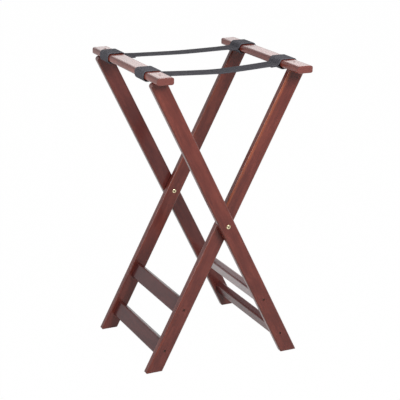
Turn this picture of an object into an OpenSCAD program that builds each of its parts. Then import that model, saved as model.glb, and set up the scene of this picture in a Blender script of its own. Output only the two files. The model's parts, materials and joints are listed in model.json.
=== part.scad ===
// Folding tray stand: two crossed wooden frames that share a pivot, tied at the top by two webbing straps.
// Millimetres, +Z up. X runs across the opening, Y along the rails, and the origin is on the floor
// under the middle of the pivot axis. The near side is -Y. The outer frame carries the rail at -X and
// the inner frame, which folds, carries the rail at +X.

/* [Stand] */
// Height of the rails' top faces when the stand is open
stand_h = 788.5; // [700:0.5:860]
// How far the pivot axis lies below the middle of the legs' height
pivot_drop = 3.75; // [0:0.25:30]
// Lean of every leg from the vertical when the stand is open, in degrees
leg_lean = 27; // [23:0.5:31]

/* [Legs] */
// Width of a leg, across its broad face
leg_w = 42; // [34:0.5:46]
// Thickness of a leg
leg_t = 19; // [16:0.5:24]
// Gap between an outer leg and the inner leg beside it
leg_gap = 2; // [1.5:0.1:4]
// Rounding of a leg's long edges
leg_edge_r = 4.5; // [1:0.5:6]
// Rounding of a leg's outer corner, under the rail
leg_top_r = 9; // [4:0.5:13]
// Easing of the edges round a foot
foot_r = 2; // [1:0.5:4]

/* [Rails] */
// Length of a rail
rail_l = 420; // [360:1:460]
// How far each end of a rail runs past the outer legs
rail_overhang = 25.5; // [5:0.5:40]
// Width of a rail, across its top face
rail_w = 45; // [38:0.5:52]
// Thickness of a rail
rail_t = 19; // [16:0.5:24]
// Rounding of a rail's long edges
rail_edge_r = 7.2; // [3:0.1:11.9]
// Easing of the edges round a rail's end
rail_end_r = 2; // [1:0.5:4]
// How far the rail's middle lies inboard of the middle of the legs' tops
rail_inset = 6.5; // [3:0.5:10]

/* [Rungs] */
// Width of a rung, along the leg
rung_w = 42.5; // [34:0.5:48]
// Thickness of a rung
rung_t = 19; // [14:0.5:20]
// Rounding of a rung's long edges
rung_edge_r = 4.5; // [1:0.1:9.9]
// Distance up the leg from the floor to the middle of the lower rung
lower_rung_up = 62.6; // [45:0.2:120]
// Spacing of the two rungs along the leg
rung_pitch = 119; // [70:1:130]

/* [Straps] */
// Width of the webbing
strap_w = 53; // [38:1:60]
// Thickness of the webbing
strap_t = 2.3; // [1.5:0.1:3.5]
// How far the middle of a strap hangs below its ends
strap_sag = 4.4; // [1:0.2:12]
// Gap between the near strap and the near inner leg, along the rail
near_strap_clear = 10; // [1:0.5:30]
// Gap between the far strap and the far inner leg, along the rail
far_strap_clear = 1; // [1:0.5:30]
// Gap that is left between the two ends of a strap when the stand is folded
strap_fold_gap = 14.6; // [8:0.2:24]

/* [Pivots] */
// Outside diameter of the barrel that both legs turn on
pivot_d = 8; // [6:0.5:10]
// Diameter of the heads on the barrel and on its screw
pivot_head_d = 11; // [10.5:0.5:18]
// Height of the heads at their crown
pivot_head_h = 2.4; // [1.8:0.1:4]
// Width of the hexagon sockets, across the corners
pivot_socket_w = 4.6; // [3:0.1:5.5]
// Diameter of the screw inside the barrel
pivot_screw_d = 5; // [3:0.5:5.5]
// Outside diameter of the washer between the legs
washer_d = 18; // [14:0.5:24]

/* [Screws] */
// Shank diameter of the wood screws
screw_d = 4; // [3:0.5:5]
// Head diameter of the wood screws
screw_head_d = 6.4; // [5.5:0.1:8]
// Head height of the wood screws
screw_head_h = 2.6; // [2:0.1:3.5]
// How deep the heads sit below the wood's surface
screw_sink = 1.6; // [0.5:0.1:4]
// Length of the screws that hold a rail to its legs
rail_screw_l = 55; // [40:1:70]
// Length of the screws that hold the rungs
rung_screw_l = 45; // [35:1:60]

/* [Hidden] */
$fn = 48;

// Clearances of the fits
pivot_fit = 0.05;
screw_fit = 0.05;
head_fit = 0.25;
pivot_play = 0.2;
strap_ease = 0.2;
strap_join = 0.3;
// How far every cut runs past the surface that it opens
overrun = 2;
// Flat that is always left between two rounded edges
edge_flat = 0.1;

// Sides of the stand along the rails, and the way that a frame's top leans along X
near = -1;
far = 1;
outer = -1;
inner = 1;

// Shares of the pivot hardware's own sizes
socket_depth_share = 0.7;
head_rim_share = 0.4;
barrel_reach_share = 0.85;
barrel_bore_share = 0.6;
// Shares of the wood screws' own sizes
recess_width_share = 0.2;
recess_span_share = 0.7;
recess_depth_share = 0.5;
screw_tip_share = 1.5;

// Places of the legs, rails and rungs
rail_under_z = stand_h - rail_t;
rail_mid_z = stand_h - rail_t / 2;
pivot_h = rail_under_z / 2 - pivot_drop;
leg_half = leg_w / 2 / cos(leg_lean);
leg_top_x = (rail_under_z - pivot_h) * tan(leg_lean);
foot_x = -pivot_h * tan(leg_lean);
along = [sin(leg_lean), cos(leg_lean)];
rail_x = leg_top_x - rail_inset;
outer_leg_y = rail_l / 2 - rail_overhang - leg_t / 2;
inner_leg_y = outer_leg_y - leg_t - leg_gap;
lower_rung_s = pivot_h / cos(leg_lean) - lower_rung_up;
upper_rung_s = lower_rung_s - rung_pitch;

// Roundings of the boards, which never pass half of their thickness
rail_round = min(rail_edge_r, (rail_t - edge_flat) / 2);
rung_round = min(rung_edge_r, (rung_t - edge_flat) / 2);

// Places of the straps: the root is where a strap leaves the loop round its rail
loop_out = strap_ease + strap_t;
strap_root_x = rail_x - rail_w / 2 - loop_out;
strap_mid_z = rail_mid_z - strap_sag;
strap_limit_y = inner_leg_y - leg_t / 2 - strap_w / 2;
near_strap_y = near * (strap_limit_y - near_strap_clear);
far_strap_y = far * (strap_limit_y - far_strap_clear);
// The bight is the length that bends into a half circle when the stand is folded
bight_l = PI * strap_fold_gap / 2;

wood = [0.40, 0.19, 0.16];
webbing = [0.16, 0.16, 0.18];
brass = [0.78, 0.70, 0.48];
dark_steel = [0.20, 0.16, 0.15];
nylon = [0.75, 0.72, 0.66];

// Distance of a frame's legs from the middle, along Y
function leg_y(frame) = frame == outer ? outer_leg_y : inner_leg_y;

// A rectangle round the origin with round corners
module rounded_rect(w, h, r) {
    round_r = min(r, w / 2, h / 2);
    square([w - 2 * round_r, h], center = true);
    square([w, h - 2 * round_r], center = true);
    for (sx = [-1, 1], sy = [-1, 1])
        translate([sx * (w / 2 - round_r), sy * (h / 2 - round_r)])
            circle(r = round_r);
}

// Rounds one corner of a flat outline; u and v point from the corner along its two sides
module eased_corner(corner, u, v, r) {
    bend = acos(u * v) / 2;
    inward = (u + v) / norm(u + v);
    difference() {
        children();
        polygon([
            corner + u * r / tan(bend),
            corner - inward * overrun,
            corner + v * r / tan(bend)
        ]);
    }
    translate(corner + inward * r / sin(bend))
        circle(r = r);
}

// Stands an outline drawn in X and Z upright and gives it a length along Y
module upright(length) {
    rotate([90, 0, 0])
        linear_extrude(length, center = true)
            children();
}

// Turns a piece that points along +Z so that it points out of the given side
module facing(side) {
    rotate([-90 * side, 0, 0])
        children();
}

// Mirrors a piece drawn for the frame whose top leans towards +X, for the frame that leans the other way
module leaning(frame) {
    mirror([frame == outer ? 1 : 0, 0, 0])
        children();
}

// Puts a piece on a frame's leg, a distance down from the pivot, turned along the leg
module down_leg(frame, distance) {
    translate([0, 0, pivot_h])
        rotate([0, frame * leg_lean, 0])
            translate([0, 0, -distance])
                children();
}

// Wood screw: the top of its head is at the origin and it points down
module wood_screw(length) {
    tip = screw_d * screw_tip_share;
    difference() {
        translate([0, 0, -screw_head_h])
            cylinder(h = screw_head_h, d = screw_head_d);
        for (turn = [0, 90])
            rotate([0, 0, turn])
                translate([0, 0, overrun / 2 - screw_head_h * recess_depth_share / 2])
                    cube([
                        screw_head_d * recess_span_share,
                        screw_head_d * recess_width_share,
                        screw_head_h * recess_depth_share + overrun
                    ], center = true);
    }
    translate([0, 0, tip - length])
        cylinder(h = length - tip - screw_head_h, d = screw_d);
    translate([0, 0, -length])
        cylinder(h = tip, d1 = 0, d2 = screw_d);
}

// Hole for a sunk wood screw; the surface is at the origin and the screw points down
module screw_hole(length) {
    seat = screw_sink + screw_head_h;
    translate([0, 0, -seat])
        cylinder(h = seat + overrun, d = screw_head_d + 2 * head_fit);
    translate([0, 0, -screw_sink - length - screw_fit])
        cylinder(h = length, d = screw_d + 2 * screw_fit);
}

// Puts a piece at the top of each of a frame's rail screws
module at_rail_screws(frame) {
    for (side = [near, far])
        translate([frame * rail_x, side * leg_y(frame), stand_h])
            children();
}

// Puts a piece at the outer face of one leg, at each of its rung screws
module at_rung_screws(frame, side) {
    for (distance = [upper_rung_s, lower_rung_s])
        down_leg(frame, distance)
            translate([0, side * (leg_y(frame) + leg_t / 2), 0])
                facing(side)
                    children();
}

// Side view of a leg that leans towards +X at the top
module leg_outline() {
    eased_corner([leg_top_x + leg_half, rail_under_z], [-1, 0], -along, leg_top_r)
        eased_corner([foot_x - leg_half, 0], [1, 0], along, foot_r)
            eased_corner([foot_x + leg_half, 0], [-1, 0], along, foot_r)
                polygon([
                    [foot_x - leg_half, 0],
                    [foot_x + leg_half, 0],
                    [leg_top_x + leg_half, rail_under_z],
                    [leg_top_x - leg_half, rail_under_z]
                ]);
}

// A leg in one piece of board, with round long edges, cut level at the foot and under the rail
module leg(frame, side) {
    color(wood)
        difference() {
            translate([0, side * leg_y(frame), 0])
                intersection() {
                    leaning(frame)
                        upright(leg_t + overrun)
                            leg_outline();
                    down_leg(frame, 0)
                        linear_extrude(2 * stand_h, center = true)
                            rounded_rect(leg_w, leg_t, leg_edge_r);
                    translate([0, 0, stand_h / 2])
                        rotate([0, 90, 0])
                            linear_extrude(2 * stand_h, center = true)
                                rounded_rect(stand_h, leg_t, foot_r);
                }
            pivot_bore(side);
            at_rail_screws(frame)
                screw_hole(rail_screw_l);
            at_rung_screws(frame, side)
                screw_hole(rung_screw_l);
        }
}

// Bore for the pivot barrel, through both legs of one side
module pivot_bore(side) {
    translate([0, side * (outer_leg_y + leg_t), pivot_h])
        facing(-side)
            cylinder(h = 3 * leg_t + leg_gap, d = pivot_d + 2 * pivot_fit);
}

// A rail, flat on top, with round long edges and eased ends
module rail(frame) {
    color(wood)
        difference() {
            translate([frame * rail_x, 0, rail_mid_z])
                intersection() {
                    upright(rail_l)
                        rounded_rect(rail_w, rail_t, rail_round);
                    linear_extrude(rail_t, center = true)
                        rounded_rect(rail_w, rail_l, rail_end_r);
                    rotate([0, 90, 0])
                        linear_extrude(rail_w, center = true)
                            rounded_rect(rail_t, rail_l, rail_end_r);
                }
            at_rail_screws(frame)
                screw_hole(rail_screw_l);
        }
}

// A rung, butted between the legs of its frame with its broad faces along them
module rung(frame, distance) {
    color(wood)
        difference() {
            down_leg(frame, distance)
                upright(2 * leg_y(frame) - leg_t)
                    rounded_rect(rung_t, rung_w, rung_round);
            for (side = [near, far])
                at_rung_screws(frame, side)
                    screw_hole(rung_screw_l);
        }
}

module rail_screws(frame) {
    color(dark_steel)
        at_rail_screws(frame)
            translate([0, 0, -screw_sink])
                wood_screw(rail_screw_l);
}

module rung_screws(frame) {
    color(dark_steel)
        for (side = [near, far])
            at_rung_screws(frame, side)
                translate([0, 0, -screw_sink])
                    wood_screw(rung_screw_l);
}

// Low domed head with a hexagon socket; its flat seat is at the origin and it points up
module pivot_head() {
    rim_h = pivot_head_h * head_rim_share;
    crown = pivot_head_h - rim_h;
    dome_r = (pow(pivot_head_d / 2, 2) + pow(crown, 2)) / (2 * crown);
    difference() {
        intersection() {
            cylinder(h = pivot_head_h, d = pivot_head_d);
            translate([0, 0, pivot_head_h - dome_r])
                sphere(r = dome_r, $fn = 96);
        }
        translate([0, 0, pivot_head_h * (1 - socket_depth_share)])
            cylinder(h = pivot_head_h, d = pivot_socket_w, $fn = 6);
    }
}

// Barrel: its head is on the outer leg and its tube reaches most of the way through the inner leg
module pivot_barrel(side) {
    reach = leg_t + leg_gap + leg_t * barrel_reach_share;
    bore = reach * barrel_bore_share;
    color(brass)
        translate([0, side * (outer_leg_y + leg_t / 2), pivot_h])
            facing(side) {
                pivot_head();
                difference() {
                    translate([0, 0, -reach])
                        cylinder(h = reach, d = pivot_d);
                    translate([0, 0, -reach - overrun])
                        cylinder(h = bore + overrun, d = pivot_screw_d + 2 * pivot_fit);
                }
            }
}

// Screw: its head is on the inner face of the inner leg and it holds in the barrel
module pivot_screw(side) {
    color(brass)
        translate([0, side * (inner_leg_y - leg_t / 2 - pivot_play), pivot_h])
            facing(-side) {
                pivot_head();
                translate([0, 0, -leg_t])
                    cylinder(h = leg_t, d = pivot_screw_d);
            }
}

// Washer that keeps the two legs of one side apart
module pivot_washer(side) {
    color(nylon)
        translate([0, side * (outer_leg_y - leg_t / 2), pivot_h])
            facing(-side)
                difference() {
                    cylinder(h = leg_gap - pivot_play, d = washer_d);
                    translate([0, 0, -overrun])
                        cylinder(h = leg_gap + 2 * overrun, d = pivot_d + 2 * pivot_fit);
                }
}

// Section of a rail, grown outwards by the given amount
module rail_section(grown) {
    rounded_rect(rail_w + 2 * grown, rail_t + 2 * grown, rail_round + grown);
}

// The sewn end of a strap: a tight loop of webbing round the rail
module strap_loop(frame, strap_y) {
    color(webbing)
        translate([frame * rail_x, strap_y, rail_mid_z])
            upright(strap_w)
                difference() {
                    rail_section(loop_out);
                    rail_section(strap_ease);
                }
}

// Half of a strap, from its root at the rail's loop down to the bight
module strap_half(frame, strap_y) {
    root_x = strap_root_x - strap_join - strap_t / 2;
    end_x = bight_l / 2 + strap_join;
    color(webbing)
        translate([0, strap_y, 0])
            leaning(frame)
                upright(strap_w) {
                    translate([root_x, rail_mid_z])
                        circle(d = strap_t);
                    polygon([
                        [end_x, strap_mid_z - strap_t / 2],
                        [root_x, rail_mid_z - strap_t / 2],
                        [root_x, rail_mid_z + strap_t / 2],
                        [end_x, strap_mid_z + strap_t / 2]
                    ]);
                }
}

// Middle of a strap, which bends double when the stand is folded
module strap_bight(strap_y) {
    color(webbing)
        translate([0, strap_y, strap_mid_z])
            cube([bight_l, strap_w, strap_t], center = true);
}

leg(outer, near);  // outer_near_leg
leg(outer, far);  // outer_far_leg
rail(outer);  // outer_rail
rung(outer, upper_rung_s);  // outer_upper_rung
rung(outer, lower_rung_s);  // outer_lower_rung
rail_screws(outer);  // outer_rail_screws
rung_screws(outer);  // outer_rung_screws
leg(inner, near);  // inner_near_leg
leg(inner, far);  // inner_far_leg
rail(inner);  // inner_rail
rung(inner, upper_rung_s);  // inner_upper_rung
rung(inner, lower_rung_s);  // inner_lower_rung
rail_screws(inner);  // inner_rail_screws
rung_screws(inner);  // inner_rung_screws
pivot_barrel(near);  // near_pivot_barrel
pivot_screw(near);  // near_pivot_screw
pivot_washer(near);  // near_pivot_washer
pivot_barrel(far);  // far_pivot_barrel
pivot_screw(far);  // far_pivot_screw
pivot_washer(far);  // far_pivot_washer
strap_loop(outer, near_strap_y);  // near_strap_outer_loop
strap_half(outer, near_strap_y);  // near_strap_outer_half
strap_bight(near_strap_y);  // near_strap_bight
strap_half(inner, near_strap_y);  // near_strap_inner_half
strap_loop(inner, near_strap_y);  // near_strap_inner_loop
strap_loop(outer, far_strap_y);  // far_strap_outer_loop
strap_half(outer, far_strap_y);  // far_strap_outer_half
strap_bight(far_strap_y);  // far_strap_bight
strap_half(inner, far_strap_y);  // far_strap_inner_half
strap_loop(inner, far_strap_y);  // far_strap_inner_loop
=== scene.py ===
"""Folding tray stand: lacquered mahogany frames, brass pivots, woven webbing straps and a plain studio."""

import json
import logging
import math
from collections.abc import Callable
from dataclasses import dataclass, field
from enum import Enum
from typing import Any

import bmesh
import bpy
from mathutils import Matrix, Vector


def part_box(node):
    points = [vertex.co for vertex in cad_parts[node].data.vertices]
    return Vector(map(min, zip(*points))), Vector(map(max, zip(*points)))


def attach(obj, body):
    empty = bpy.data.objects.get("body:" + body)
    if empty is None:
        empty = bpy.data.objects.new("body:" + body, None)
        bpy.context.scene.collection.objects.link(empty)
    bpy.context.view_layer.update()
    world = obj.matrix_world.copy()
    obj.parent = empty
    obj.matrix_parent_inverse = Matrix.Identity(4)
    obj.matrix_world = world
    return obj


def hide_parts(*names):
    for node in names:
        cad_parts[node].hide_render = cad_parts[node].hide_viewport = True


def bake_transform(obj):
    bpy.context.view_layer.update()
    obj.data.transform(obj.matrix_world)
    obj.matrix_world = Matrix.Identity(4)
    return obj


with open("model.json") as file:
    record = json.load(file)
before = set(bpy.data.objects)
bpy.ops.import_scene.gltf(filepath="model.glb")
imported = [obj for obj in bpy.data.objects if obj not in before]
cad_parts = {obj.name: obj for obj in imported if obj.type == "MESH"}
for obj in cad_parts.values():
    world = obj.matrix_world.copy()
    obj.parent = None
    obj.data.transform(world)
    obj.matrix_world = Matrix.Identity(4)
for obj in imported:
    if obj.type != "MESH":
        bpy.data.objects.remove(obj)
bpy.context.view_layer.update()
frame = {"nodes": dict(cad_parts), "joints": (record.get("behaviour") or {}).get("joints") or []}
log = logging.getLogger("tray_stand")

Point = tuple[float, float]
Triple = tuple[float, float, float]
Colour = tuple[float, float, float, float]
MM = 0.001
SAME_ROW = 0.01 * MM
SAME_POINT = 0.0001 * MM
WEAVE_MAP = "weave"


class Ladder(Enum):
    """The two leg frames, by where their rail lies along X."""

    OUTER = "outer"
    INNER = "inner"

    @property
    def way(self) -> float:
        """Direction of this frame's rail along X."""
        return -1.0 if self is Ladder.OUTER else 1.0


class Side(Enum):
    """The two sides of the stand along its rails."""

    NEAR = "near"
    FAR = "far"


class Grain(Enum):
    """The way that a board's grain runs, as the axis of the board's own frame that it follows."""

    UPRIGHT = 2
    LENGTHWISE = 1

    def drawn_out(self, across: float, along: float) -> Triple:
        """Scale of a pattern that is fine across the grain and long along it.

        Args:
            across: repeats per metre across the grain.
            along: repeats per metre along the grain.

        Returns:
            The scale on the board's three axes.
        """
        scale = [across, across, across]
        scale[self.value] = along
        return tuple(scale)


class Signal:
    """One output socket of a finish's graph; arithmetic on it adds Math nodes."""

    def __init__(self, graph: "FinishGraph", socket: bpy.types.NodeSocket) -> None:
        """Keeps the graph and the socket that the value comes from."""
        self.graph = graph
        self.socket = socket

    def math(self, operation: str, *others: Any) -> "Signal":
        """Adds one Math node on this value, with the values or signals of its further inputs."""
        sockets = dict(enumerate((self, *others)))
        return self.graph.node("ShaderNodeMath", {"operation": operation}, sockets)

    def reflected(self, operation: str, first: float) -> "Signal":
        """Adds one Math node on a number in front and this value."""
        return self.graph.node("ShaderNodeMath", {"operation": operation}, {0: first, 1: self})

    def __add__(self, other: Any) -> "Signal":
        """Sum."""
        return self.math("ADD", other)

    def __radd__(self, other: float) -> "Signal":
        """Sum with a number in front."""
        return self.reflected("ADD", other)

    def __sub__(self, other: Any) -> "Signal":
        """Difference."""
        return self.math("SUBTRACT", other)

    def __rsub__(self, other: float) -> "Signal":
        """Difference from a number in front."""
        return self.reflected("SUBTRACT", other)

    def __mul__(self, other: Any) -> "Signal":
        """Product."""
        return self.math("MULTIPLY", other)

    def __rmul__(self, other: float) -> "Signal":
        """Product with a number in front."""
        return self.reflected("MULTIPLY", other)

    def __truediv__(self, other: Any) -> "Signal":
        """Quotient."""
        return self.math("DIVIDE", other)

    def __rtruediv__(self, other: float) -> "Signal":
        """Quotient of a number in front."""
        return self.reflected("DIVIDE", other)

    def __abs__(self) -> "Signal":
        """Size without its sign."""
        return self.math("ABSOLUTE")

    def ramp(self, low: float, high: float) -> "Signal":
        """Smooth step of this value.

        Args:
            low: value where the step is 0.
            high: value where the step is 1.

        Returns:
            The step, from 0 to 1.
        """
        settings = {"interpolation_type": "SMOOTHSTEP", "clamp": True}
        sockets = {"Value": self, "From Min": low, "From Max": high}
        return self.graph.node("ShaderNodeMapRange", settings, sockets)


class FinishGraph:
    """The node graph of one material."""

    output = "ShaderNodeOutputMaterial"

    def __init__(self, name: str) -> None:
        """Starts an empty material graph.

        Args:
            name: the material's name.
        """
        self.material = bpy.data.materials.new(name)
        self.material.use_nodes = True
        self.tree = self.material.node_tree
        self.tree.nodes.clear()

    def add(self, kind: str, settings: dict[str, Any] | None = None,
            sockets: dict[Any, Any] | None = None) -> bpy.types.Node:
        """Adds a node.

        Args:
            kind: the node's type.
            settings: the node's own properties, which are set first.
            sockets: values or signals for its input sockets, by name or place.

        Returns:
            The node.
        """
        made = self.tree.nodes.new(kind)
        for key, value in (settings or {}).items():
            setattr(made, key, value)
        for key, value in (sockets or {}).items():
            if isinstance(value, Signal):
                self.tree.links.new(value.socket, made.inputs[key])
            else:
                made.inputs[key].default_value = value
        return made

    def node(self, kind: str, settings: dict[str, Any] | None = None,
             sockets: dict[Any, Any] | None = None, output: Any = 0) -> Signal:
        """Adds a node as add does and takes one of its outputs, by name or place."""
        return Signal(self, self.add(kind, settings, sockets).outputs[output])

    def place(self) -> Signal:
        """Place on the piece, in the frame that all pieces share."""
        return self.node("ShaderNodeTexCoord", None, None, "Object")

    def axes(self, vector: Signal) -> tuple[Signal, Signal, Signal]:
        """Splits a vector into its three parts."""
        split = self.add("ShaderNodeSeparateXYZ", None, {0: vector})
        return tuple(Signal(self, out) for out in split.outputs)

    def noise(self, vector: Signal, scale: Triple, detail: float = 2.0, rough: float = 0.5,
              warp: float = 0.0) -> Signal:
        """Adds a noise pattern.

        Args:
            vector: where the pattern is read.
            scale: its repeats per metre on each axis.
            detail: number of finer layers.
            rough: strength of the finer layers.
            warp: how far the pattern is distorted.

        Returns:
            The pattern, from 0 to 1.
        """
        read = self.node("ShaderNodeVectorMath", {"operation": "MULTIPLY"}, {0: vector, 1: scale})
        sockets = {"Vector": read, "Scale": 1.0, "Detail": detail, "Roughness": rough, "Distortion": warp}
        return self.node("ShaderNodeTexNoise", {"noise_dimensions": "3D"}, sockets)

    def mix(self, share: Any, first: Any, second: Any) -> Signal:
        """Mixes two colours, by the share of the second."""
        return self.node("ShaderNodeMix", {"data_type": "RGBA"}, {0: share, 6: first, 7: second}, 2)

    def bump(self, height: Signal, depth: float, strength: float = 1.0) -> Signal:
        """Bends the normal by a height pattern whose full range is depth metres."""
        return self.node("ShaderNodeBump", None, {"Height": height, "Distance": depth, "Strength": strength})

    def surface(self, sockets: dict[str, Any]) -> bpy.types.Material:
        """Closes the graph with a Principled shader that has those values or signals."""
        self.node_output(self.node("ShaderNodeBsdfPrincipled", None, sockets))
        return self.material

    def node_output(self, shader: Signal) -> None:
        """Leads a shader to the graph's output."""
        self.add(self.output, None, {"Surface": shader})


class WorldGraph(FinishGraph):
    """The node graph of the world."""

    output = "ShaderNodeOutputWorld"

    def __init__(self, world: bpy.types.World) -> None:
        """Starts an empty graph on the world."""
        self.tree = world.node_tree
        self.tree.nodes.clear()


@dataclass(frozen=True)
class Board:
    """How a wood finish lies on one board.

    The first fields place it: the board's middle, its turn about Y, half its section, the radius of its long edges,
    the way of its grain and a seed that shifts its figure. The others colour it: worn long edges on legs and rungs
    and painted shade along the rails' upper edges; a painted highlight on the lit edge of a leg; painted shade on
    the legs' narrow flanks and a painted reflection on the outer rungs' narrow edges; painted shade over the whole
    board; and factors on gloss and coat. End grain shows half_length from the middle; the default is beyond any
    board.
    """

    middle: Triple
    turn: float
    half_across: float
    half_deep: float
    edge: float
    grain: Grain
    seed: float
    # Worn long edges on legs and rungs; on the rails the same weight paints shade along the upper edges.
    edge_wear_and_shade: float
    # Painted highlight on the lit edge of a leg.
    rubbed: float = 0.0
    # Painted shade on the legs' narrow flanks; a painted reflection on the rungs' narrow edges.
    dark_flanks: float = 0.0
    # Painted shade over the whole board.
    dark: float = 0.0
    half_length: float = 10.0
    shine: float = 1.0
    coating: float = 1.0


@dataclass(frozen=True)
class MahoganyLacquer:
    """Red-brown mahogany stain under a semi-gloss lacquer."""

    deep: Colour = (0.088, 0.016, 0.012, 1.0)
    body: Colour = (0.140, 0.028, 0.020, 1.0)
    warm: Colour = (0.190, 0.048, 0.030, 1.0)
    # Orange of worn long edges and of the painted highlight on a leg's lit edge.
    edge: Colour = (0.350, 0.096, 0.040, 1.0)
    pore: Colour = (0.042, 0.011, 0.013, 1.0)
    # Colour of the legs' narrow flanks, as painted shade; the rungs' finish gives a lighter one, a painted
    # reflection.
    painted_flank: Colour = (0.085, 0.017, 0.014, 1.0)
    end_grain: Colour = (0.140, 0.043, 0.036, 1.0)
    tint: Colour = (1.0, 1.0, 1.0, 1.0)
    roughness: float = 0.30
    gloss: float = 0.24
    coat: float = 0.25
    coat_roughness: float = 0.12
    relief: float = 0.07 * MM
    cloud_scale: Point = (42.0, 12.0)
    figure_scale: Point = (150.0, 14.0)
    fibre_scale: Point = (900.0, 30.0)
    pore_scale: Point = (1700.0, 75.0)
    seed_step: Triple = (3.1, 1.7, 2.3)
    tone_span: Point = (0.36, 0.66)
    warm_span: Point = (0.50, 0.76)
    fibre_span: Point = (0.35, 0.75)
    pore_span: Point = (0.60, 0.74)
    end_span: Point = (-1.5 * MM, -0.5 * MM)
    edge_span: Point = (-1.05, -0.62)
    upper_span: Point = (-0.2, 0.2)
    painted_flank_span: Point = (-0.5, -0.1)
    # Where the painted highlight lies along a leg's lit edge, and how it fades below the middle.
    highlight_span: Point = (-1.25, -0.3)
    highlight_slope: float = 0.45
    highlight_fade_span: Point = (-40.0 * MM, 60.0 * MM)
    highlight_floor: float = 0.15
    warm_share: float = 0.5
    fibre_share: float = 0.3
    end_share: float = 0.85
    pore_share: float = 0.7

    def material(self, name: str, board: Board) -> bpy.types.Material:
        """Makes the finish of one board.

        Args:
            name: the material's name.
            board: how the finish lies on the board.

        Returns:
            The material.
        """
        graph = FinishGraph(name)
        turned = Matrix.Rotation(board.turn, 3, "Y") @ Vector(board.middle)
        own = graph.node("ShaderNodeMapping", {"vector_type": "POINT"}, {
            "Vector": graph.place(), "Location": tuple(-turned), "Rotation": (0.0, board.turn, 0.0)})
        shift = tuple(board.seed * step for step in self.seed_step)
        shifted = graph.node("ShaderNodeVectorMath", {"operation": "ADD"}, {0: own, 1: shift})

        cloud = graph.noise(shifted, board.grain.drawn_out(*self.cloud_scale), 4.0, 0.6)
        figure = graph.noise(shifted, board.grain.drawn_out(*self.figure_scale), 4.0, 0.6, 0.5)
        fibre = graph.noise(shifted, board.grain.drawn_out(*self.fibre_scale), 2.0, 0.6)
        pores = graph.noise(shifted, board.grain.drawn_out(*self.pore_scale), 1.0).ramp(*self.pore_span)
        axes = graph.axes(own)
        ends = (abs(axes[1]) - board.half_length).ramp(*self.end_span)
        edge, painted_flank, rubbed = self.edge_masks(axes, board)
        # Worn long edges on legs and rungs; on rails, whose edge colour is darker, painted shade along the upper
        # edges.
        worn = edge * (0.45 + cloud * 0.5)

        colour = graph.mix((cloud * 0.65 + figure * 0.35).ramp(*self.tone_span), self.deep, self.body)
        warmth = (cloud * 0.5 + figure * 0.5).ramp(*self.warm_span)
        colour = graph.mix(warmth * self.warm_share, colour, self.warm)
        colour = graph.mix(fibre.ramp(*self.fibre_span) * self.fibre_share, colour, self.warm)
        colour = graph.mix(ends * self.end_share, colour, self.end_grain)
        colour = graph.mix(pores * self.pore_share, colour, self.pore)
        # Painted shade: the whole board darkened towards the pore colour, most on the outer far leg.
        colour = graph.mix(board.dark, colour, self.pore)
        # Painted shade on the legs' narrow flanks, a painted reflection on the outer rungs' narrow edges.
        colour = graph.mix(painted_flank * board.dark_flanks, colour, self.painted_flank)
        colour = graph.mix(worn * board.edge_wear_and_shade, colour, self.edge)
        # Painted highlight on the lit edge of a leg.
        colour = graph.mix(rubbed * (0.55 + cloud * 0.6) * board.rubbed, colour, self.edge)

        rough = self.roughness + (fibre - 0.5) * 0.10 + pores * 0.12 - worn * 0.05
        height = fibre * 0.35 + figure * 0.4 - pores * 0.6
        return graph.surface({
            "Base Color": colour, "Roughness": rough, "Normal": graph.bump(height, self.relief),
            "Coat Weight": self.coat * board.coating, "Coat Roughness": self.coat_roughness,
            "Specular IOR Level": self.gloss * board.shine, "Specular Tint": self.tint})

    def edge_masks(self, own: tuple[Signal, Signal, Signal], board: Board) -> tuple[Signal, Signal, Signal]:
        """Marks a board's long edges, its narrow flanks, which take painted shade on legs and a painted reflection
        on the outer rungs, and the lit edge of a leg, which takes a painted highlight.

        Of rails and rungs only the upper edges are marked. The highlighted edge fades below the middle of a leg.

        Args:
            own: place in the board's own frame, axis by axis.
            board: the board.

        Returns:
            1 on the edges, on the flanks and on the highlighted edge, and 0 elsewhere on each.
        """
        x, y, z = own
        deep = y if board.grain is Grain.UPRIGHT else z
        across, depth = abs(x) - board.half_across, abs(deep) - board.half_deep
        edge_span, painted_flank_span, highlight_span = (
            [share * board.edge for share in span] for span in (self.edge_span, self.painted_flank_span, self.highlight_span))
        edge = (across + depth).ramp(*edge_span)
        # Rails and rungs keep only their upper edges: painted shade on the rails, worn edges on the rungs.
        if board.grain is Grain.LENGTHWISE:
            edge = edge * (deep / board.half_deep).ramp(*self.upper_span)
        # The painted highlight's edge: the front edge on the leg's -X side, fading towards the foot.
        corner = (x * -1.0 - board.half_across) * self.highlight_slope - deep - board.half_deep
        highlight_fade = self.highlight_floor + z.ramp(*self.highlight_fade_span) * (1.0 - self.highlight_floor)
        return edge, across.ramp(*painted_flank_span), corner.ramp(*highlight_span) * highlight_fade


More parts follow.
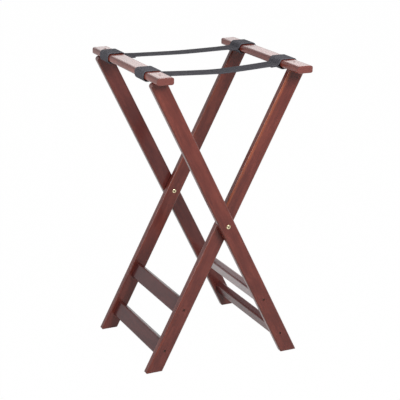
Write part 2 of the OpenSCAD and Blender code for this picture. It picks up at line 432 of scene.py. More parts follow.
@dataclass(frozen=True)
class WovenWebbing:
    """Heavy charcoal webbing: cords along its length, crossed by the weft."""

    yarn: Colour = (0.058, 0.056, 0.065, 1.0)
    gap: Colour = (0.010, 0.010, 0.012, 1.0)
    dusty: Colour = (0.104, 0.101, 0.115, 1.0)
    # Lighter raised yarn where the webbing wraps the rails: a painted highlight.
    rubbed: Colour = (0.125, 0.122, 0.138, 1.0)
    loop_from: float = 24.0 * MM
    loop_to: float = 148.0 * MM
    cord_pitch: float = 1.9 * MM
    weft_pitch: float = 1.3 * MM
    half_width: float = 26.5 * MM
    selvedge: float = 2.6 * MM
    roughness: float = 0.88
    gloss: float = 0.06
    sheen: float = 0.01
    sheen_roughness: float = 0.45
    relief: float = 0.35 * MM
    loop_ease: float = 8.0 * MM
    selvedge_ease: float = 0.4 * MM
    spot_scale: Triple = (60.0, 90.0, 1.0)
    streak_scale: Triple = (9.0, 620.0, 1.0)
    yarn_span: Point = (0.10, 0.55)
    dust_span: Point = (0.42, 0.74)

    def material(self, name: str) -> bpy.types.Material:
        """Makes the finish of the straps, which follows their own length and width.

        Args:
            name: the material's name.

        Returns:
            The material.
        """
        graph = FinishGraph(name)
        lie = graph.node("ShaderNodeUVMap", {"uv_map": WEAVE_MAP})
        along, across, _ = graph.axes(lie)
        columns = across / self.cord_pitch
        cord = abs((columns * math.pi).math("SINE"))
        step = columns.math("FLOOR").math("MODULO", 2.0) * math.pi
        weft = (along * (2.0 * math.pi / self.weft_pitch) + step).math("SINE") * 0.5 + 0.5
        height = cord * 0.6 + weft * 0.4
        band = (abs(across) - (self.half_width - self.selvedge)).ramp(-self.selvedge_ease, self.selvedge_ease)
        height = height * (1.0 - band * 0.5) + band * 0.35

        spot = graph.noise(lie, self.spot_scale, 3.0, 0.6)
        streak = graph.noise(lie, self.streak_scale, 2.0, 0.5)
        raised = height.ramp(*self.yarn_span)
        begun = (along - self.loop_from).ramp(0.0, self.loop_ease)
        ended = (along - self.loop_to).ramp(-self.loop_ease, self.loop_ease)
        colour = graph.mix(raised, self.gap, self.yarn)
        colour = graph.mix((spot * 0.5 + streak * 0.5).ramp(*self.dust_span) * 0.5, colour, self.dusty)
        # Painted highlight on the raised yarn over the loops round the rails.
        colour = graph.mix(begun * (1.0 - ended) * raised * 0.5, colour, self.rubbed)
        rough = self.roughness + (spot - 0.5) * 0.16
        return graph.surface({
            "Base Color": colour, "Roughness": rough, "Normal": graph.bump(height, self.relief, 0.7),
            "Sheen Weight": self.sheen, "Sheen Roughness": self.sheen_roughness, "Specular IOR Level": self.gloss})


@dataclass(frozen=True)
class SewingThread:
    """Bonded grey thread with its twist."""

    strand: Colour = (0.150, 0.150, 0.160, 1.0)
    furrow: Colour = (0.050, 0.050, 0.055, 1.0)
    twist: float = 2600.0
    fuzz_scale: Triple = (900.0, 900.0, 900.0)
    roughness: float = 0.55
    relief: float = 0.1 * MM

    def material(self, name: str) -> bpy.types.Material:
        """Makes the finish of the seams.

        Args:
            name: the material's name.

        Returns:
            The material.
        """
        graph = FinishGraph(name)
        place = graph.place()
        x, y, z = graph.axes(place)
        ply = ((x + y + z) * self.twist).math("SINE") * 0.5 + 0.5
        fuzz = graph.noise(place, self.fuzz_scale, 2.0)
        colour = graph.mix(ply * 0.7 + fuzz * 0.3, self.furrow, self.strand)
        return graph.surface({
            "Base Color": colour, "Roughness": self.roughness + (fuzz - 0.5) * 0.2,
            "Normal": graph.bump(ply, self.relief, 0.6)})


@dataclass(frozen=True)
class MetalFinish:
    """A turned metal with faint scratches and some dulling."""

    bright: Colour
    dull: Colour
    metallic: float
    roughness: float
    socket: float = 0.0
    axis: Point = (0.0, 381.0 * MM)
    # Colour of the painted shade in the sockets.
    socket_shade: Colour = (0.060, 0.048, 0.032, 1.0)
    tarnish_scale: Triple = (420.0, 420.0, 420.0)
    scratch_scale: Triple = (3000.0, 500.0, 6000.0)
    dull_span: Point = (0.45, 0.75)
    socket_span: Point = (0.85, 1.15)
    relief: float = 0.03 * MM

    def material(self, name: str) -> bpy.types.Material:
        """Makes the finish of the hardware, with painted shade in the sockets round its axis where it has them.

        Args:
            name: the material's name.

        Returns:
            The material.
        """
        graph = FinishGraph(name)
        place = graph.place()
        tarnish = graph.noise(place, self.tarnish_scale, 3.0, 0.6)
        scratch = graph.noise(place, self.scratch_scale, 2.0, 0.7)
        colour = graph.mix(tarnish.ramp(*self.dull_span) * 0.7, self.bright, self.dull)
        rough = self.roughness + tarnish * 0.12 + (scratch - 0.5) * 0.1
        if self.socket > 0.0:
            x, _, z = graph.axes(place)
            aside, above = x - self.axis[0], z - self.axis[1]
            out = (aside * aside + above * above).math("SQRT")
            # Painted shade in the socket round the axis, where the metal is also rougher.
            socket_shade = 1.0 - out.ramp(*(share * self.socket for share in self.socket_span))
            colour = graph.mix(socket_shade * 0.9, colour, self.socket_shade)
            rough = rough + socket_shade * 0.3
        return graph.surface({
            "Base Color": colour, "Metallic": self.metallic, "Roughness": rough,
            "Normal": graph.bump(scratch, self.relief, 0.4)})


@dataclass(frozen=True)
class NaturalNylon:
    """Matte off-white nylon with a faint moulded texture."""

    base: Colour = (0.62, 0.59, 0.53, 1.0)
    worn: Colour = (0.42, 0.38, 0.33, 1.0)
    roughness: float = 0.52
    rub_scale: Triple = (260.0, 260.0, 260.0)
    pit_scale: Triple = (2400.0, 2400.0, 2400.0)
    worn_span: Point = (0.4, 0.75)
    relief: float = 0.04 * MM

    def material(self, name: str) -> bpy.types.Material:
        """Makes the finish of the washers.

        Args:
            name: the material's name.

        Returns:
            The material.
        """
        graph = FinishGraph(name)
        place = graph.place()
        rub = graph.noise(place, self.rub_scale, 3.0, 0.6)
        pit = graph.noise(place, self.pit_scale, 1.0)
        colour = graph.mix(rub.ramp(*self.worn_span) * 0.6, self.base, self.worn)
        return graph.surface({
            "Base Color": colour, "Roughness": self.roughness + (pit - 0.5) * 0.12,
            "Normal": graph.bump(pit, self.relief, 0.4)})


class Bench:
    """The workbench: selection, copying and finishing of meshes by operators."""

    @staticmethod
    def clear() -> None:
        """Leaves edit mode and deselects everything."""
        if bpy.context.object and bpy.context.object.mode != "OBJECT":
            bpy.ops.object.mode_set(mode="OBJECT")
        bpy.ops.object.select_all(action="DESELECT")

    @staticmethod
    def take(piece: bpy.types.Object) -> None:
        """Makes one piece the only selected and active one.

        Args:
            piece: the piece.
        """
        Bench.clear()
        piece.select_set(True)
        bpy.context.view_layer.objects.active = piece

    @staticmethod
    def pick(piece: bpy.types.Object, wanted: Callable[[Vector], bool]) -> None:
        """Selects vertices in edit mode by their place.

        Args:
            piece: the piece in edit mode.
            wanted: test of a vertex's place.
        """
        mesh = bmesh.from_edit_mesh(piece.data)
        for item in (*mesh.faces, *mesh.edges):
            item.select_set(False)
        for vertex in mesh.verts:
            vertex.select_set(wanted(vertex.co))
        mesh.select_flush(True)
        bmesh.update_edit_mesh(piece.data)

    @staticmethod
    def finish(piece: bpy.types.Object, kind: str, **settings: Any) -> None:
        """Adds a modifier and applies it.

        Args:
            piece: the piece.
            kind: the modifier's type.
            settings: its properties.
        """
        Bench.take(piece)
        modifier = piece.modifiers.new(kind.lower(), kind)
        for key, value in settings.items():
            setattr(modifier, key, value)
        bpy.ops.object.modifier_apply(modifier=modifier.name)

    @staticmethod
    def copy(piece: bpy.types.Object, name: str, move: Triple, mirrored: bool = False,
             turned: bool = False) -> bpy.types.Object:
        """Copies a piece with its own mesh and puts the copy in place.

        Args:
            piece: the piece to copy.
            name: the copy's name.
            move: how far the copy is moved.
            mirrored: whether the copy is mirrored in X.
            turned: whether the copy is turned a quarter about Z before it is moved.

        Returns:
            The copy, with its place in its mesh.
        """
        Bench.take(piece)
        bpy.ops.object.duplicate(linked=False)
        made = bpy.context.object
        made.name = made.data.name = name
        made.location = Vector(move)
        made.rotation_euler = (0.0, 0.0, math.pi / 2 if turned else 0.0)
        made.scale = (-1.0 if mirrored else 1.0, 1.0, 1.0)
        bpy.ops.object.transform_apply(location=True, rotation=True, scale=True)
        if mirrored:
            Bench.face_out(made)
        return made

    @staticmethod
    def face_out(piece: bpy.types.Object) -> None:
        """Turns a closed piece's faces outwards.

        Args:
            piece: the piece.
        """
        Bench.take(piece)
        bpy.ops.object.mode_set(mode="EDIT")
        bpy.ops.mesh.select_all(action="SELECT")
        bpy.ops.mesh.normals_make_consistent(inside=False)
        bpy.ops.object.mode_set(mode="OBJECT")

    @staticmethod
    def paint(piece: bpy.types.Object, material: bpy.types.Material) -> bpy.types.Object:
        """Gives a piece one material.

        Args:
            piece: the piece.
            material: its material.

        Returns:
            The piece.
        """
        if piece.material_slots:
            for slot in piece.material_slots:
                slot.material = material
        else:
            piece.data.materials.append(material)
        return piece


def bezier(first: Point, corner: Point, last: Point, reach: float, steps: int = 6) -> list[Point]:
    """Rounds the corner of a line.

    Args:
        first: a point before the corner.
        corner: the corner.
        last: a point after it.
        reach: how far from the corner the rounding starts and ends.
        steps: number of steps along the rounding.

    Returns:
        The rounded points.
    """
    at = Vector(corner)
    start = at + (Vector(first) - at).normalized() * reach
    end = at + (Vector(last) - at).normalized() * reach
    shares = [i / steps for i in range(steps + 1)]
    return [tuple((1 - t) ** 2 * start + 2 * t * (1 - t) * at + t * t * end) for t in shares]


def steps_between(start: float, end: float, step: float) -> list[float]:
    """Even steps from one value to another, both included, of at most the given step."""
    count = max(1, math.ceil(abs(end - start) / step))
    return [start + (end - start) * i / count for i in range(count + 1)]


def leaving_angle(point: Point, middle: Point, radius: float, way: float) -> float:
    """Slope in degrees of the line from a point that touches a circle, above it (way 1) or below it (way -1)."""
    run, rise = middle[0] - point[0], middle[1] - point[1]
    return math.degrees(math.atan2(rise, run) + way * math.asin(radius / math.hypot(run, rise)))


def walked(points: list[Point], step: float) -> list[Point]:
    """Divides the long runs of a line.

    Args:
        points: the line.
        step: the longest run that is left.

    Returns:
        The line with more points.
    """
    line = [points[0]]
    for a, b in zip(points, points[1:]):
        far = math.dist(a, b)
        if far < SAME_POINT:
            continue
        count = max(1, math.ceil(far / step))
        line += [(a[0] + (b[0] - a[0]) * i / count, a[1] + (b[1] - a[1]) * i / count)
                 for i in range(1, count + 1)]
    return line


@dataclass
class WebbingStrap:
    """One strap: webbing that is sewn into a loop round each rail and hangs between the rails."""

    side: Side
    cloth: bpy.types.Material
    stitching: bpy.types.Material
    root_rise: float
    middle_rise: float
    tilt: float
    drift: dict[Ladder, float]
    top_slack: float
    tail_end: float
    rail_round: float = 7.2 * MM
    side_slack: float = 1.0 * MM
    under_slack: float = 2.6 * MM
    columns: int = 10
    seam: float = 163.0 * MM
    seam_ease: float = 4.0 * MM
    layer_gap: float = 0.06 * MM
    sag_power: float = 1.25
    bend_from: float = 167.5 * MM
    bend_to: float = 161.5 * MM
    selvedge_round: float = 0.8 * MM
    stitch_half: float = 1.7 * MM
    stitch_thick: float = 0.42 * MM
    stitch_pitch: float = 4.4 * MM
    stitch_dive: float = 0.8
    seam_row: float = 159.5 * MM
    tail_margin: float = 3.0 * MM
    seam_margin: float = 4.0 * MM
    step: float = 5.0 * MM
    bight_step: float = 1.0 * MM
    turn_step: float = 10.0
    tilt_fade: float = 40.0 * MM
    drawn_aside: float = 10.0
    bevel_angle: float = math.radians(60.0)
    smooth_angle: float = math.radians(40.0)
    rail_low: Vector = field(init=False)
    rail_high: Vector = field(init=False)
    bight: float = field(init=False)
    thick: float = field(init=False)
    mid_z: float = field(init=False)
    hinge_x: float = field(init=False)
    hinge_z: float = field(init=False)
    root_z: float = field(init=False)
    width: float = field(init=False)
    y: float = field(init=False)
    proud: float = field(init=False)

    def __post_init__(self) -> None:
        """Takes the places of the rail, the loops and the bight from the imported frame."""
        stem = f"{self.side.value}_strap"
        self.rail_low, self.rail_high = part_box("inner_rail")
        bight_low, bight_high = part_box(f"{stem}_bight")
        self.bight = bight_high.x
        self.thick = bight_high.z - bight_low.z
        self.mid_z = (bight_low.z + bight_high.z) / 2 + self.middle_rise
        hinge = next(j for j in frame["joints"] if j["name"] == f"{stem}_inner_droop")["pos_m"]
        self.hinge_x, self.hinge_z = hinge[0], hinge[2]
        self.root_z = hinge[2] + self.root_rise
        loop_low, loop_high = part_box(f"{stem}_inner_loop")
        self.width = loop_high.y - loop_low.y
        self.y = (loop_high.y + loop_low.y) / 2
        self.proud = loop_high.x - self.rail_high.x - self.thick / 2

    def span_z(self, x: float) -> float:
        """Height of the strap's middle surface at a distance from the middle of the stand."""
        share = max(0.0, (x - self.bight) / (self.hinge_x - self.bight))
        return self.mid_z + (self.root_z - self.mid_z) * share ** self.sag_power

    def turn(self, middle: Point, start: float, end: float) -> list[Point]:
        """Line of the webbing round one edge of the rail, with the slack that it has there.

        Args:
            middle: middle of the rounded edge.
            start: first angle in degrees.
            end: last angle in degrees.

        Returns:
            The points.
        """
        line = []
        count = max(2, math.ceil(abs(end - start) / self.turn_step))
        for i in range(count + 1):
            angle = math.radians(start + (end - start) * i / count)
            out, rise = math.cos(angle), math.sin(angle)
            radius = self.rail_round + self.proud + self.side_slack * max(0.0, out) ** 2
            radius += (self.top_slack if rise > 0.0 else self.under_slack) * rise ** 2
            line.append((middle[0] + radius * out, middle[1] + radius * rise))
        return line

    def half_line(self) -> list[Point]:
        """Line of half a strap in X and Z: the sewn tail, the turn round the rail, the seam and the span.

        Returns:
            The points, from the tail's end to the bight.
        """
        radius = self.rail_round + self.proud
        inner_x, outer_x = self.rail_low.x + self.rail_round, self.rail_high.x - self.rail_round
        low_z, high_z = self.rail_low.z + self.rail_round, self.rail_high.z - self.rail_round
        under = self.thick + self.layer_gap
        top = (self.seam, self.span_z(self.seam))
        low = (self.seam, top[1] - under)
        lower = leaving_angle(low, (inner_x, low_z), radius, -1.0)
        upper = leaving_angle(top, (inner_x, high_z), radius, 1.0)
        flat_end = self.seam - self.seam_ease
        tail = [(x, self.span_z(x) - under) for x in steps_between(self.tail_end, flat_end, self.step)]
        wrap = [*self.turn((inner_x, low_z), lower - 90.0, -90.0), *self.turn((outer_x, low_z), -90.0, 0.0),
                *self.turn((outer_x, high_z), 0.0, 90.0), *self.turn((inner_x, high_z), 90.0, 90.0 + upper)]
        span = [(x, self.span_z(x)) for x in steps_between(flat_end, self.bight, self.step)]
        line = tail[:-1] + bezier(tail[-1], low, wrap[0], self.seam_ease) + wrap
        line += bezier(wrap[-1], top, span[0], self.seam_ease) + span[1:]
        return walked(line, self.step)

    def ribbon(self, name: str, line: list[Point]) -> bpy.types.Object:
        """Draws a length of webbing along a line, round Y 0.

        It is drawn far aside and moved back, so that no row of it lies where a row of the first grid is picked.

        Args:
            name: the piece's name.
            line: its middle surface in X and Z.

        Returns:
            The ribbon with its thickness, round selvedges and weave map.
        """
        Bench.clear()
        bpy.ops.mesh.primitive_grid_add(x_subdivisions=1, y_subdivisions=self.columns, size=1.0)
        piece = bpy.context.object
        piece.name = piece.data.name = name
        bpy.ops.object.mode_set(mode="EDIT")
        bpy.ops.mesh.select_mode(type="VERT")
        bpy.ops.mesh.select_all(action="SELECT")
        bpy.ops.transform.resize(value=(1.0, self.width, 1.0))
        for place, end in ((-0.5, line[0]), (0.5, line[1])):
            Bench.pick(piece, lambda co, at=place: abs(co.x - at) < SAME_ROW)
            bpy.ops.transform.translate(value=(end[0] + self.drawn_aside - place, 0.0, end[1]))
        for a, b in zip(line[1:], line[2:]):
            bpy.ops.mesh.extrude_region_move(TRANSFORM_OT_translate={"value": (b[0] - a[0], 0.0, b[1] - a[1])})
        bpy.ops.mesh.select_all(action="SELECT")
        bpy.ops.transform.translate(value=(-self.drawn_aside, 0.0, 0.0))
        bpy.ops.object.mode_set(mode="OBJECT")
        self.map_weave(piece, line)
        Bench.finish(piece, "SOLIDIFY", thickness=self.thick, offset=0.0, use_even_offset=True)
        Bench.face_out(piece)
        Bench.finish(piece, "BEVEL", width=self.selvedge_round, segments=3, limit_method="ANGLE",
                     angle_limit=self.bevel_angle)
        Bench.take(piece)
        bpy.ops.object.shade_smooth_by_angle(angle=self.smooth_angle)
        for vertex in piece.data.vertices:
            vertex.co.z += self.tilt_at(abs(vertex.co.x), vertex.co.y)
        return piece

    def tilt_at(self, x: float, y: float) -> float:
        """How far the tilt lifts a point, by its distance from the stand's middle and the webbing's middle."""
        free = min(1.0, max(0.0, (self.seam - x) / self.tilt_fade))
        return -self.tilt * free * y / (self.width / 2)

    @staticmethod
    def map_weave(piece: bpy.types.Object, line: list[Point]) -> None:
        """Writes the weave map, along and across the webbing, in metres.

        Args:
            piece: the flat ribbon.
            line: its middle surface in X and Z.
        """
        run = [0.0]
        for a, b in zip(line, line[1:]):
            run.append(run[-1] + math.dist(a, b))
        layer = piece.data.uv_layers.new(name=WEAVE_MAP)
        for corner in piece.data.loops:
            co = piece.data.vertices[corner.vertex_index].co
            at = min(range(len(line)), key=lambda i: (line[i][0] - co.x) ** 2 + (line[i][1] - co.z) ** 2)
            layer.data[corner.index].uv = (run[at], co.y)

    def stitch(self) -> bpy.types.Object:
        """Models one stitch along Y, whose ends dive into the webbing.

        Returns:
            The stitch at the origin.
        """
        Bench.clear()
        bpy.ops.mesh.primitive_uv_sphere_add(segments=8, ring_count=8, radius=1.0)
        piece = bpy.context.object
        bpy.ops.object.mode_set(mode="EDIT")
        bpy.ops.mesh.select_all(action="SELECT")
        bpy.ops.transform.rotate(value=math.pi / 2, orient_axis="X", center_override=(0.0, 0.0, 0.0))
        bpy.ops.transform.resize(value=(self.stitch_thick, self.stitch_half, self.stitch_thick))
        Bench.pick(piece, lambda co: abs(co.y) > self.stitch_dive * self.stitch_half)
        bpy.ops.transform.translate(value=(0.0, 0.0, -self.stitch_thick))
        bpy.ops.object.mode_set(mode="OBJECT")
        Bench.take(piece)
        bpy.ops.object.shade_smooth()
        return piece

    def sewing(self) -> bpy.types.Object:
        """Sews the box seam that holds a tail to its strap, above and below, round Y 0 at the inner frame's end.

        Returns:
            All its stitches as one piece.
        """
        one = self.stitch()
        half = self.width / 2 - self.seam_margin
        count = int(2 * half / self.stitch_pitch)
        rows = (self.seam_row, self.tail_end + self.tail_margin)
        places = [(x, (i - (count - 1) / 2) * self.stitch_pitch, False) for x in rows for i in range(count)]
        down = steps_between(*rows, self.stitch_pitch)[1:-1]
        places += [(x, way * half, True) for x in down for way in (-1, 1)]
        made = []
        for x, y, turned in places:
            lift = self.tilt_at(x, y)
            top = self.span_z(x) + self.thick / 2 + lift
            under = self.span_z(x) - 1.5 * self.thick - self.layer_gap + lift
            made += [Bench.copy(one, "stitch", (x, y, z), turned=turned) for z in (top, under)]
        bpy.data.objects.remove(one)
        Bench.take(made[0])
        for piece in made[1:]:
            piece.select_set(True)
        bpy.ops.object.join()
        return bpy.context.object

    def build(self) -> list[bpy.types.Object]:
        """Models half the strap, its bight and a seam once, and copies them to both rails.

        Returns:
            The pieces.
        """
        line = self.half_line()
        half = self.ribbon("strap_half", line)
        across = steps_between(-self.bight, self.bight, self.bight_step)
        bight = self.ribbon("strap_bight", [(x, self.mid_z) for x in across])
        seam = self.sewing()
        length = sum(math.dist(a, b) for a, b in zip(line, line[1:]))
        pieces = []
        for ladder in Ladder:
            pieces += self.end(ladder, half, seam, length)
        pieces.append(self.middle(bight))
        for source in (half, bight, seam):
            bpy.data.objects.remove(source)
        return pieces

    def end(self, ladder: Ladder, half: bpy.types.Object, seam: bpy.types.Object,
            length: float) -> list[bpy.types.Object]:
        """Puts half the strap and its seam on one rail.

        Args:
            ladder: the frame whose rail it goes round.
            half: the modelled half.
            seam: the modelled seam.
            length: length of the half's webbing.

        Returns:
            The webbing and the seam.
        """
        stem = f"{self.side.value}_strap_{ladder.value}"
        mirrored = ladder is Ladder.OUTER
        cloth = Bench.copy(half, f"{stem}_webbing", (0.0, self.y, 0.0), mirrored)
        sewn = Bench.copy(seam, f"{stem}_seam", (0.0, self.y, 0.0), mirrored)
        Bench.paint(cloth, self.cloth)
        Bench.paint(sewn, self.stitching)
        for piece in (cloth, sewn):
            for vertex in piece.data.vertices:
                share = (abs(vertex.co.x) - self.bight) / (self.seam - self.bight)
                vertex.co.y += self.drift[ladder] * min(1.0, share)
        ladder.way * self.bend_from
        ladder.way * self.bend_to
        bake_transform(cloth)
        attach(sewn, stem)
        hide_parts(f"{stem}_loop", f"{stem}_half")
        return [cloth, sewn]

    def middle(self, bight: bpy.types.Object) -> bpy.types.Object:
        """Puts the middle of the strap in place, where the real strap bends double when the stand is folded; this
        piece doesn't bend.

        Args:
            bight: the modelled middle.

        Returns:
            The webbing.
        """
        stem = f"{self.side.value}_strap"
        cloth = Bench.copy(bight, f"{stem}_middle_webbing", (0.0, self.y, 0.0))
        Bench.paint(cloth, self.cloth)
        -self.bight
        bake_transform(cloth)
        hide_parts(f"{stem}_bight")
        2 * self.bight
        return cloth


# How the two frames' boards differ: near and far leg, then upper and lower rung.
# The first value of a leg paints a highlight on its lit edge; the second darkens the whole leg as painted shade,
# most on the outer far leg.
LEG_LOOKS: dict[Ladder, tuple[dict[str, float], ...]] = {
    Ladder.OUTER: ({"rubbed": 0.0, "dark": 0.04}, {"rubbed": 0.0, "dark": 0.42}),
    Ladder.INNER: ({"rubbed": 0.62, "dark": 0.14}, {"rubbed": 0.2, "dark": 0.08}),
}
# The first value of an outer rung lightens its narrow edges as a painted reflection.
RUNG_LOOKS: dict[Ladder, tuple[dict[str, float], ...]] = {
    Ladder.OUTER: ({"dark_flanks": 0.7, "shine": 2.2, "coating": 1.7},
                   {"dark_flanks": 0.7, "shine": 0.7, "coating": 0.1}),
    Ladder.INNER: ({}, {}),
}
FIRST_SEED = {Ladder.OUTER: 1.0, Ladder.INNER: 7.0}


@dataclass
class LadderFrame:
    """One leg frame: two legs, a rail and two rungs, with the screws that hold them."""

    ladder: Ladder
    wood: MahoganyLacquer = MahoganyLacquer()
    # A darker copy of the mahogany for the rungs, as painted shade; its lighter colour of the narrow flanks is a
    # painted reflection on the outer rungs.
    rung_wood: MahoganyLacquer = MahoganyLacquer(
        deep=(0.050, 0.012, 0.012, 1.0), body=(0.078, 0.019, 0.018, 1.0), warm=(0.105, 0.030, 0.025, 1.0),
        painted_flank=(0.135, 0.027, 0.024, 1.0), tint=(1.0, 0.90, 0.98, 1.0), gloss=0.20)
    # The rails' wood; its darker edge colour is painted shade along the rails' upper rounded edges.
    rail_wood: MahoganyLacquer = MahoganyLacquer(
        deep=(0.130, 0.025, 0.018, 1.0), body=(0.215, 0.045, 0.030, 1.0), warm=(0.270, 0.070, 0.042, 1.0),
        edge=(0.060, 0.018, 0.018, 1.0))
    steel: MetalFinish = MetalFinish(
        bright=(0.085, 0.046, 0.036, 1.0), dull=(0.040, 0.022, 0.017, 1.0), metallic=0.3, roughness=0.5)
    lean: float = math.radians(27.0)
    leg_w: float = 42.0 * MM
    leg_t: float = 19.0 * MM
    leg_edge: float = 4.5 * MM
    rail_w: float = 45.0 * MM
    rail_t: float = 19.0 * MM
    rail_l: float = 420.0 * MM
    rail_edge: float = 7.2 * MM
    rung_w: float = 42.5 * MM
    rung_t: float = 19.0 * MM
    rung_edge: float = 4.5 * MM
    leg_wear: float = 0.1
    # Painted shade on the legs' narrow flanks.
    leg_flanks: float = 0.55
    # Painted shade along the rails' upper rounded edges.
    rail_wear: float = 0.7
    rung_wear: float = 0.05

    def boards(self) -> dict[str, Board]:
        """How the wood finish lies on each board.

        Returns:
            The boards by their node's name.
        """
        name = self.ladder.value
        turn = -self.ladder.way * self.lean
        seed = FIRST_SEED[self.ladder]
        made = {}
        for i, side in enumerate(Side):
            node = f"{name}_{side.value}_leg"
            made[node] = Board(
                self.middle(node), turn, self.leg_w / 2, self.leg_t / 2, self.leg_edge, Grain.UPRIGHT, seed + i,
                edge_wear_and_shade=self.leg_wear, dark_flanks=self.leg_flanks, **LEG_LOOKS[self.ladder][i])
        node = f"{name}_rail"
        made[node] = Board(
            self.middle(node), 0.0, self.rail_w / 2, self.rail_t / 2, self.rail_edge, Grain.LENGTHWISE, seed + 2,
            edge_wear_and_shade=self.rail_wear, half_length=self.rail_l / 2)
        for i, place in enumerate(("upper", "lower")):
            node = f"{name}_{place}_rung"
            made[node] = Board(
                self.middle(node), turn, self.rung_t / 2, self.rung_w / 2, self.rung_edge, Grain.LENGTHWISE,
                seed + 3 + i, edge_wear_and_shade=self.rung_wear, **RUNG_LOOKS[self.ladder][i])
        return made

    @staticmethod
    def middle(node: str) -> Triple:
        """Middle of a node's box."""
        low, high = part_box(node)
        return tuple((low + high) / 2)

    def dress(self) -> list[bpy.types.Object]:
        """Gives the boards and screws their finishes.

        Returns:
            The dressed nodes.
        """
        woods = {"leg": self.wood, "rung": self.rung_wood, "rail": self.rail_wood}
        dressed = []
        for node, board in self.boards().items():
            finish = woods[node.split("_")[-1]].material(f"mahogany_{node}", board)
            dressed.append(Bench.paint(frame["nodes"][node], finish))
        steel = self.steel.material(f"dark_steel_{self.ladder.value}")
        return dressed + [Bench.paint(frame["nodes"][f"{self.ladder.value}_{kind}_screws"], steel)
                          for kind in ("rail", "rung")]


@dataclass
class Pivot:
    """The pivot of one side: barrel, screw and washer."""

    side: Side
    brass: MetalFinish = MetalFinish(
        bright=(0.82, 0.72, 0.47, 1.0), dull=(0.55, 0.45, 0.26, 1.0), metallic=1.0, roughness=0.24, socket=2.3 * MM)
    nylon: NaturalNylon = NaturalNylon()

    def dress(self) -> list[bpy.types.Object]:
        """Gives the pivot's pieces their finishes.

        Returns:
            The dressed nodes.
        """
        brass = self.brass.material(f"pale_brass_{self.side.value}")
        nylon = self.nylon.material(f"nylon_{self.side.value}")
        return [Bench.paint(frame["nodes"][f"{self.side.value}_pivot_{kind}"], finish)
                for kind, finish in (("barrel", brass), ("screw", brass), ("washer", nylon))]


@dataclass(frozen=True)
class Softbox:
    """A rectangular soft lamp, aimed at the stand."""

    name: str
    place: Triple
    width: float
    height: float
    power: float
    aim: Triple = (0.0, 0.0, 0.42)

    def build(self) -> None:
        """Makes the lamp, which the camera doesn't see."""
        data = bpy.data.lights.new(self.name, "AREA")
        data.shape = "RECTANGLE"
        data.size, data.size_y, data.energy = self.width, self.height, self.power
        lamp = bpy.data.objects.new(self.name, data)
        bpy.context.scene.collection.objects.link(lamp)
        lamp.location = self.place
        lamp.rotation_euler = (Vector(self.aim) - Vector(self.place)).to_track_quat("-Z", "Y").to_euler()
        lamp.visible_camera = False


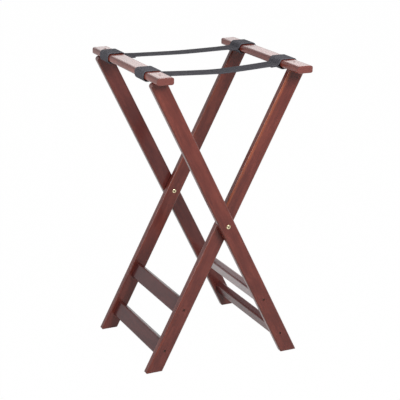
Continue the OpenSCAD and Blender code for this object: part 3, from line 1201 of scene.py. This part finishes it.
@dataclass
class Studio:
    """Pale floor, soft lamps, white surroundings and the camera."""

    floor_half: float = 14.0
    floor_colour: Colour = (0.55, 0.55, 0.55, 1.0)
    floor_glow: float = 0.995
    ambient: float = 0.24
    dim: float = 0.3
    overhead: Point = (0.30, 0.48)
    behind: Point = (-0.65, -0.10)
    lamps: tuple[Softbox, ...] = (
        Softbox("key", (0.42, -1.62, 1.85), 0.9, 0.9, 50.0),
        Softbox("fill", (-2.0, -0.7, 1.35), 1.2, 1.2, 30.0, (0.0, 0.0, 0.70)),
        Softbox("back", (1.1, 3.1, 2.05), 3.4, 1.4, 24.0, (0.0, 0.0, 0.78)),
    )
    image_side: float = 400.0
    sensor: float = 36.0
    focal_pixels: float = 1216.22
    yaw: float = math.radians(-26.38)
    pitch: float = math.radians(18.01)
    roll: float = math.radians(1.11)
    distance: float = 3.2556
    aside: float = 8.17 * MM
    above: float = 4.09 * MM
    target: Triple = (0.0, 0.0, 393.7 * MM)

    def floor(self) -> None:
        """Lays the floor, which is white to look at and grey to the light."""
        Bench.clear()
        bpy.ops.mesh.primitive_plane_add(size=2 * self.floor_half)
        floor = bpy.context.object
        floor.name = "studio_floor"
        graph = FinishGraph("studio_floor")
        camera, mirrored = self.plain_sight(graph)
        seen = camera.math("MAXIMUM", mirrored)
        matte = graph.node("ShaderNodeBsdfDiffuse", None, {"Color": self.floor_colour})
        glow = graph.node("ShaderNodeEmission", None, {"Strength": 1.0})
        graph.node_output(graph.node("ShaderNodeMixShader", None, {0: seen * self.floor_glow, 1: matte, 2: glow}))
        Bench.paint(floor, graph.material)

    @staticmethod
    def plain_sight(graph: FinishGraph) -> tuple[Signal, Signal]:
        """Whether a ray shows the surroundings straight on, and whether it shows them in a gloss or glass.

        Args:
            graph: the graph that the nodes go into.

        Returns:
            1 for the rays of each kind; both are 0 for the light that falls on things.
        """
        path = graph.add("ShaderNodeLightPath")
        camera, glossy, through = (Signal(graph, path.outputs[name]) for name in (
            "Is Camera Ray", "Is Glossy Ray", "Is Transmission Ray"))
        return camera, glossy.math("MAXIMUM", through)

    def surroundings(self) -> None:
        """Makes the world: white to look at, dim overhead and in front where gloss shows it, softer as light."""
        world = bpy.data.worlds.new("studio")
        bpy.context.scene.world = world
        world.use_nodes = True
        graph = WorldGraph(world)
        _, ahead, up = graph.axes(graph.node("ShaderNodeTexCoord", None, None, "Generated"))
        white = (1.0 - up.ramp(*self.overhead)) * ahead.ramp(*self.behind)
        camera, mirrored = self.plain_sight(graph)
        seen = camera.math("MAXIMUM", mirrored * (self.dim + white * (1.0 - self.dim)))
        strength = seen.math("MAXIMUM", self.ambient)
        sky = graph.node("ShaderNodeBackground", None, {"Color": (1.0, 1.0, 1.0, 1.0), "Strength": strength})
        graph.node_output(sky)

    def camera(self) -> None:
        """Sets up the camera at the photograph's viewing angle."""
        right = Vector((math.cos(self.yaw), math.sin(self.yaw), 0.0))
        back = Vector((math.sin(self.yaw) * math.cos(self.pitch), -math.cos(self.yaw) * math.cos(self.pitch),
                       math.sin(self.pitch)))
        up = back.cross(right)
        across = right * math.cos(self.roll) + up * math.sin(self.roll)
        upright = up * math.cos(self.roll) - right * math.sin(self.roll)
        data = bpy.data.cameras.new("camera")
        data.sensor_width = self.sensor
        data.lens = self.focal_pixels / self.image_side * self.sensor
        data.clip_end = 100.0
        camera = bpy.data.objects.new("camera", data)
        bpy.context.scene.collection.objects.link(camera)
        turned = Matrix((across, upright, back)).transposed().to_4x4()
        place = Vector(self.target) + back * self.distance + across * self.aside + upright * self.above
        camera.matrix_world = Matrix.Translation(place) @ turned
        bpy.context.scene.camera = camera

    def build(self) -> None:
        """Builds the floor, the surroundings, the lamps and the camera."""
        self.floor()
        self.surroundings()
        for lamp in self.lamps:
            lamp.build()
        self.camera()
        bpy.context.scene.view_settings.view_transform = "Standard"


def main() -> None:
    """Dresses the frames and pivots, models the straps and sets up the studio."""
    logging.basicConfig(level=logging.INFO, format="%(name)s: %(message)s")
    Studio().build()
    made: list[bpy.types.Object] = []
    for ladder in Ladder:
        made += LadderFrame(ladder).dress()
    for side in Side:
        made += Pivot(side).dress()
    cloth, thread = WovenWebbing().material("charcoal_webbing"), SewingThread().material("grey_thread")
    near_drift = {Ladder.OUTER: 0.0, Ladder.INNER: 10.0 * MM}
    far_drift = {Ladder.OUTER: 5.0 * MM, Ladder.INNER: 5.0 * MM}
    near = WebbingStrap(Side.NEAR, cloth, thread, root_rise=-3.4 * MM, middle_rise=-5.1 * MM, tilt=0.4 * MM,
                        drift=near_drift, top_slack=0.8 * MM, tail_end=142.0 * MM)
    far = WebbingStrap(Side.FAR, cloth, thread, root_rise=-0.4 * MM, middle_rise=2.0 * MM, tilt=1.1 * MM,
                       drift=far_drift, top_slack=1.9 * MM, tail_end=138.0 * MM)
    made += near.build() + far.build()
    for piece in made:
        log.info("%s: %d faces", piece.name, len(piece.data.polygons))


if __name__ == "__main__":
    main()
